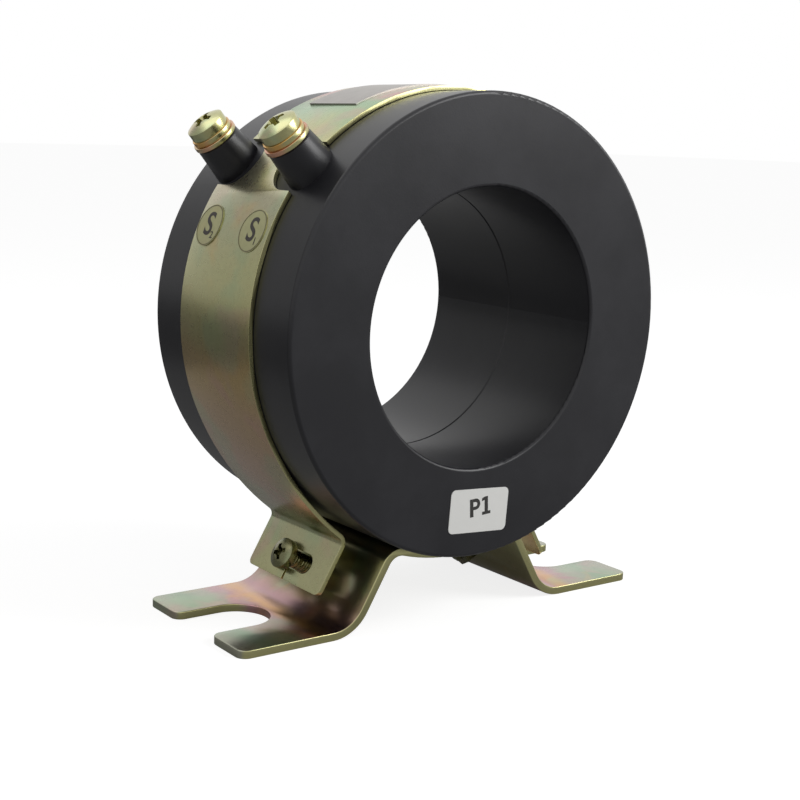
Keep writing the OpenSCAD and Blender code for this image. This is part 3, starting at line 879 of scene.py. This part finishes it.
class CT_OT_labels(bpy.types.Operator):
    """Dress the labels and the blank plate, and print the terminal marks"""
    bl_idname = "ct.labels"
    bl_label = "Labels"

    def execute(self, context):
        marks = settings()[2]
        dress(NODES["label_p1"],
              plain_finish("white_film", (0.93, 0.93, 0.90), 0.35, 0.0, 0.02))
        dress(NODES["rating_plate"],
              plain_finish("blank_plate", (0.38, 0.36, 0.34), 0.42, 1.0, 0.12, 400.0))
        film = yellow_zinc("clear_film", 0.1, 0.01, 0.32, 1.2, 0.93)
        for node in ("label_s1", "label_s2"):
            dress(NODES[node], film)
        self.print_front(marks, plain_finish("ink", marks.ink, 0.5))
        ink = plain_finish("band_ink", marks.band_ink, 0.45)
        for node, number in (("label_s1", "1"), ("label_s2", "2")):
            self.print_round(marks, node, number, ink)
        return {"FINISHED"}

    def print_front(self, marks, ink):
        size = marks.face_height
        right, up = 0.00035, 0.0008
        half_share, step_share = 0.70, 0.80
        outlines = [scaled(o, size) for o in letter_p()]
        outlines += [scaled(o, size, step_share) for o in figure_one()]
        outlines = [[(x - half_share * size + right, y - size / 2 + up) for x, y in o]
                    for o in outlines]
        mesh = filled_outline("print_p1", outlines, marks.film)
        lo, hi = low("label_p1"), high("label_p1")
        tilt = Matrix.Rotation(-marks.face_tilt, 4, "Y")
        upright = Matrix.Rotation(math.radians(90), 4, "X")
        place = Matrix.Translation(((lo.x + hi.x) / 2, lo.y - marks.film / 2, (lo.z + hi.z) / 2))
        mesh.transform(place @ tilt @ upright)
        dress(new_piece("print_p1", mesh), ink)

    def print_round(self, marks, node, number, ink):
        lo, hi = low(node), high(node)
        vertices = NODES[node].data.vertices
        radius = max(math.hypot(v.co.x, v.co.z) for v in vertices) + marks.film / 2
        angle = math.atan2((lo.z + hi.z) / 2, (lo.x + hi.x) / 2)
        size = marks.band_height
        name = "print_" + node.split("_")[1]
        letter = text_mesh(name + "_letter", "S", size, marks.film)
        figure_share, aside_share = 0.3, 0.42
        figure = text_mesh(name + "_figure", number, figure_share * size, marks.film)
        figure.transform(Matrix.Translation((aside_share * size, -aside_share * size, 0)))
        rim = (hi.y - lo.y) / 2
        outer, inner, steps = 0.97, 0.925, 72
        outlines = [arc((0, 0), share * rim, 0, 360, steps)[:-1] for share in (outer, inner)]
        ring = filled_outline(name + "_ring", outlines, marks.film)
        mesh = joined(name, (letter, figure))
        for part, part_name, material in ((mesh, name, ink),
                                          (ring, name + "_ring", self.pale_ink())):
            wrapped(part, radius, angle, (lo.y + hi.y) / 2)
            dress(new_piece(part_name, part), material)

    def pale_ink(self):
        """Ink of the thin ring round a round label's mark, made once."""
        name = "ring_ink"
        return bpy.data.materials.get(name) or plain_finish(name, (0.16, 0.14, 0.06), 0.45)


class CT_OT_stage(bpy.types.Operator):
    """Set up the floor, the lamps, the world and the camera"""
    bl_idname = "ct.stage"
    bl_label = "Studio"

    def execute(self, context):
        stage = settings()[3]
        scene = context.scene
        self.floor()
        near, join, top = BASE_Z + 0.001, -0.03, 0.62
        self.flag("low_flag", [(-0.34, 0.00, near), (0.06, 0.27, near), (0.00, 0.75, join),
                               (-0.85, 0.18, join)], stage.low_glow)
        self.flag("tall_flag", [(-0.95, 0.15, join), (-0.20, 0.85, join), (-0.20, 0.85, top),
                                (-0.95, 0.15, top)], stage.tall_glow)
        self.world(scene, stage.ambient)
        self.lamp("key", stage.key_place, stage.key_size, stage.key_watts)
        self.lamp("fill", stage.fill_place, stage.fill_size, stage.fill_watts)
        self.camera(scene, stage)
        scene.view_settings.view_transform = "Standard"
        return {"FINISHED"}

    def floor(self):
        """Pale floor that looks white where nothing shades it."""
        size = 6.0
        paper = 0.42
        seen_glow, mirrored_glow = 0.82, 0.06
        floor = self.card("floor", [(x * size, y * size, BASE_Z) for x, y in
                                    ((-1, -1), (1, -1), (1, 1), (-1, 1))])
        material, new, link, shader = blank_material("floor_paper")
        shader.inputs["Base Color"].default_value = (paper, paper, paper, 1.0)
        shader.inputs["Roughness"].default_value = 0.9
        shader.inputs["Specular IOR Level"].default_value = 0.0
        shader.inputs["Emission Color"].default_value = (1.0, 1.0, 1.0, 1.0)
        path = new("ShaderNodeLightPath")
        gloss = new("ShaderNodeMath")
        gloss.operation = "MULTIPLY"
        gloss.inputs[1].default_value = mirrored_glow
        link(path.outputs["Is Glossy Ray"], gloss.inputs[0])
        lift = new("ShaderNodeMath")
        lift.operation = "MULTIPLY_ADD"
        lift.inputs[1].default_value = seen_glow
        either = new("ShaderNodeMath")
        either.operation = "MAXIMUM"
        link(path.outputs["Is Camera Ray"], either.inputs[0])
        link(path.outputs["Is Transmission Ray"], either.inputs[1])
        link(either.outputs[0], lift.inputs[0])
        link(gloss.outputs[0], lift.inputs[2])
        link(lift.outputs[0], shader.inputs["Emission Strength"])
        dress(floor, material)

    def flag(self, name, corners, glow):
        """Grey card behind on the left, out of sight, that only the gloss mirrors."""
        flag = self.card(name, corners)
        for rays in ("camera", "diffuse", "shadow", "transmission"):
            setattr(flag, "visible_" + rays, False)
        material, _, _, shader = blank_material(name + "_cloth")
        shader.inputs["Base Color"].default_value = (0.0, 0.0, 0.0, 1.0)
        shader.inputs["Specular IOR Level"].default_value = 0.0
        shader.inputs["Emission Color"].default_value = (1.0, 1.0, 1.0, 1.0)
        shader.inputs["Emission Strength"].default_value = glow
        dress(flag, material)

    def card(self, name, corners):
        mesh = bpy.data.meshes.new(name)
        mesh.from_pydata(corners, [], [(0, 1, 2, 3)])
        card = bpy.data.objects.new(name, mesh)
        bpy.context.scene.collection.objects.link(card)
        return card

    def world(self, scene, ambient):
        world = bpy.data.worlds.new("studio")
        scene.world = world
        world.use_nodes = True
        new, link = world.node_tree.nodes.new, world.node_tree.links.new
        back = world.node_tree.nodes["Background"]
        back.inputs["Color"].default_value = (1.0, 1.0, 1.0, 1.0)
        level = new("ShaderNodeMapRange")
        level.inputs["To Min"].default_value = ambient
        level.inputs["To Max"].default_value = 1.0
        link(seen_directly(new, link), level.inputs["Value"])
        link(level.outputs[0], back.inputs["Strength"])

    def lamp(self, name, place, size, watts):
        light = bpy.data.lights.new(name, "AREA")
        light.shape = "SQUARE"
        light.size = size
        light.energy = watts
        lamp = bpy.data.objects.new(name, light)
        lamp.location = place
        lamp.rotation_euler = (-Vector(place)).to_track_quat("-Z", "Y").to_euler()
        bpy.context.scene.collection.objects.link(lamp)

    def camera(self, scene, stage):
        forward = Vector((math.sin(stage.azimuth) * math.cos(stage.elevation),
                          math.cos(stage.azimuth) * math.cos(stage.elevation),
                          -math.sin(stage.elevation)))
        right = forward.cross(Vector((0, 0, 1))).normalized()
        up = right.cross(forward)
        turned_right = right * math.cos(stage.roll) + up * math.sin(stage.roll)
        turned_up = up * math.cos(stage.roll) - right * math.sin(stage.roll)
        data = bpy.data.cameras.new("camera")
        data.lens = stage.lens
        data.sensor_width = 36.0
        data.shift_x = stage.shift
        data.clip_start = 0.01
        camera = bpy.data.objects.new("camera", data)
        turn = Matrix((turned_right, turned_up, -forward)).transposed()
        camera.matrix_world = (Matrix.Translation(Vector(stage.aim) - forward * stage.distance)
                               @ turn.to_4x4())
        scene.collection.objects.link(camera)
        scene.camera = camera


class CT_PT_panel(bpy.types.Panel):
    """Panel that lists the steps"""
    bl_idname = "CT_PT_panel"
    bl_label = "Current transformer"
    bl_space_type = "VIEW_3D"
    bl_region_type = "UI"
    bl_category = "Transformer"

    def draw(self, context):
        for operator in OPERATORS:
            self.layout.operator(operator.bl_idname)


GROUPS = (("ct_housing", TransformerHousing), ("ct_plating", TransformerPlating),
          ("ct_marks", TransformerMarks), ("ct_stage", TransformerStage))
OPERATORS = (CT_OT_stage, CT_OT_housing, CT_OT_core, CT_OT_sheet_metal, CT_OT_terminals,
             CT_OT_clamp_screws, CT_OT_labels)


def register():
    for name, group in GROUPS:
        bpy.utils.register_class(group)
        setattr(bpy.types.Scene, name, PointerProperty(type=group))
    for cls in OPERATORS + (CT_PT_panel,):
        bpy.utils.register_class(cls)


def unregister():
    for cls in reversed(OPERATORS + (CT_PT_panel,)):
        bpy.utils.unregister_class(cls)
    for name, group in reversed(GROUPS):
        delattr(bpy.types.Scene, name)
        bpy.utils.unregister_class(group)


def main():
    """Registers the add-on and runs its steps in order."""
    register()
    for operator in OPERATORS:
        area, step = operator.bl_idname.split(".")
        getattr(getattr(bpy.ops, area), step)()


if __name__ == "__main__":
    main()
